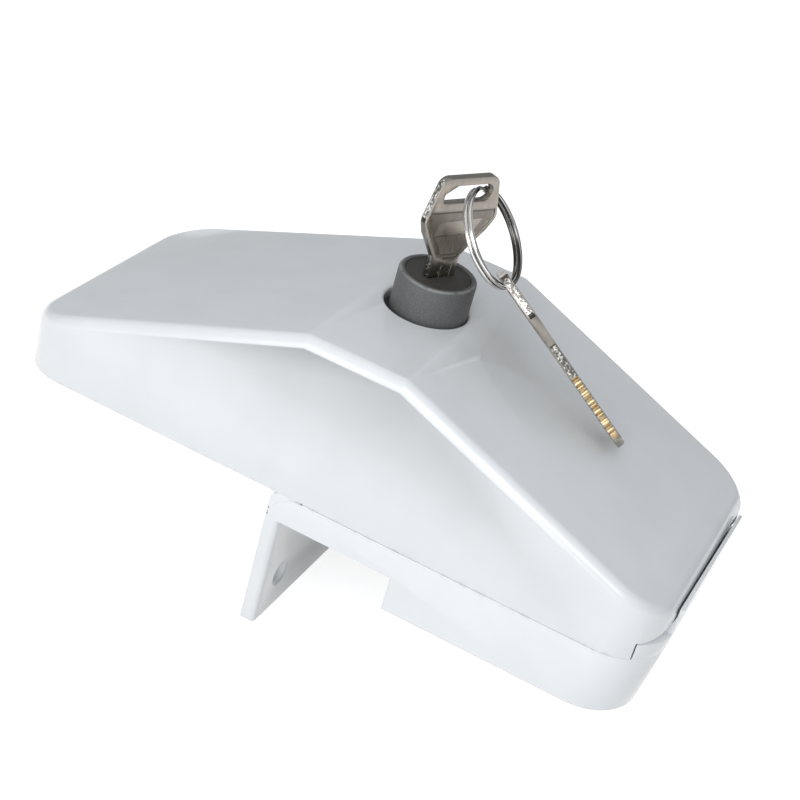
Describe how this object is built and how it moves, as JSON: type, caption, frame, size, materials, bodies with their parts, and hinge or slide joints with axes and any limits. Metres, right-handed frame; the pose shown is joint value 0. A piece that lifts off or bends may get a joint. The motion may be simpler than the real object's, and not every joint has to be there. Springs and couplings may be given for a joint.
{
  "type": "sliding door lock",
  "caption": "Cast lock for a van's sliding door: a hinged ridge-backed cover over a screwed base with a door-gap flange, held shut by a keyed push cylinder.",
  "frame": {"origin": "centre of the base block's flat mounting face", "axes": "+X from the cover's free end towards its hinge, +Y from the front side to the back, +Z away from the panel the base is screwed to"},
  "size_m": [0.1914, 0.0834, 0.1287],
  "materials": {
    "white_coat": "glossy white powder coat on a casting",
    "cast_zinc": "dark grey plated zinc casting with a fine grain",
    "steel": "plain zinc-plated steel",
    "brass": "machined brass",
    "nickel": "nickel-plated brass, satin, brass where it is cut",
    "bright_steel": "bright wire",
    "rubber": "matt black"
  },
  "bodies": {
    "base": {"base_body": "white_coat", "strike_plate": "steel", "strike_screw_1": "steel", "strike_screw_2": "steel", "hinge_leaf": "white_coat", "leaf_screw_1": "steel", "leaf_screw_2": "steel", "hinge_pin": "steel"},
    "cover": {"cover_shell": "white_coat", "lock_housing": "cast_zinc", "housing_screw_1": "steel", "housing_screw_2": "steel", "housing_screw_3": "steel", "guide_pin": "steel", "sleeve_seal": "rubber", "return_spring": "steel"},
    "push_cylinder": {"lock_sleeve": "cast_zinc"},
    "plug": {"plug_face": "cast_zinc", "plug_core": "brass", "wafer_1": "brass", "wafer_2": "brass", "wafer_3": "brass", "wafer_4": "brass", "wafer_5": "brass", "wafer_6": "brass", "plug_clip": "steel", "locking_cam": "steel", "cam_pin": "steel"},
    "door_key": {"key": "nickel"},
    "ring": {"key_ring": "bright_steel"},
    "second_key": {"spare_key": "nickel"}
  },
  "joints": [
    {"name": "cover_hinge", "type": "hinge", "parent": "base", "child": "cover", "pos_m": [0.0296, 0, 0.02975], "axis": [0, 1, 0], "range_deg": [0, 70]},
    {"name": "lock_push", "type": "slide", "parent": "cover", "child": "push_cylinder", "axis": [0, 0, -1], "range_m": [0, 0.0102], "stiffness_N_per_m": 400, "springref_m": -0.008, "deforming": ["return_spring"]},
    {"name": "plug_turn", "type": "hinge", "parent": "push_cylinder", "child": "plug", "pos_m": [-0.0583, 0, 0.07], "axis": [0, 0, 1], "range_deg": [0, 90]},
    {"name": "key_withdraw", "type": "slide", "parent": "plug", "child": "door_key", "axis": [0, 0, 1], "range_m": [0, 0.028]},
    {"name": "ring_swing", "type": "hinge", "parent": "door_key", "child": "ring", "pos_m": [-0.05642, 0.00339, 0.09924], "axis": [0.2119, -0.9404, 0.2658], "range_deg": [0, 29]},
    {"name": "spare_key_swing", "type": "hinge", "parent": "ring", "child": "second_key", "pos_m": [-0.04002, 0.00421, 0.07863], "axis": [-0.6203, -0.7204, 0.3102], "range_deg": [0, 27]}
  ],
  "couplings": [
    {"joint": "ring_swing", "follows": "lock_push", "rad_per_m": 47.911},
    {"joint": "spare_key_swing", "follows": "plug_turn", "ratio": 0.2889}
  ]
}
